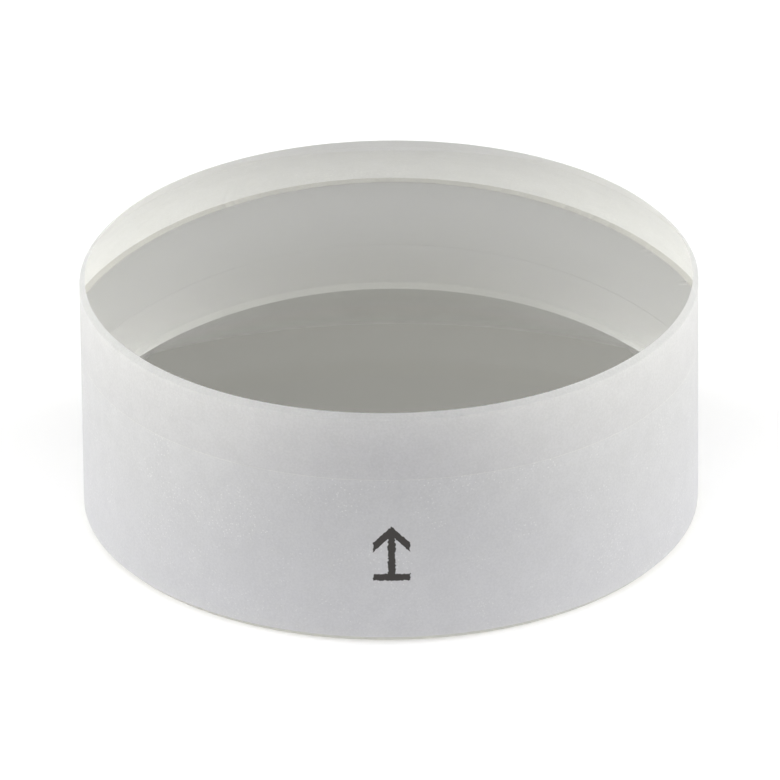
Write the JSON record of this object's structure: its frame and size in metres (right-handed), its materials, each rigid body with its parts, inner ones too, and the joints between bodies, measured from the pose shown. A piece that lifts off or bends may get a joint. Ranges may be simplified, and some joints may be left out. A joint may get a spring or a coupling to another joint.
{
  "type": "achromatic doublet lens",
  "caption": "Round cemented lens with a domed crown element on a thicker, slightly hollow flint element, fine-ground round its edge and bevelled at both rims.",
  "frame": {"origin": "where the optical axis meets the table the lens stands on, level with the lower rim", "axes": "+Z along the optical axis, from the hollow flint face to the domed crown face"},
  "size_m": [0.0254, 0.0254, 0.0121],
  "materials": {
    "crown_glass": "polished faces, fine-ground edge",
    "optical_cement": "clear cured cement",
    "flint_glass": "polished faces, fine-ground edge"
  },
  "bodies": {
    "root": {"crown_element": "crown_glass", "cement_layer": "optical_cement", "flint_element": "flint_glass"}
  },
  "joints": []
}
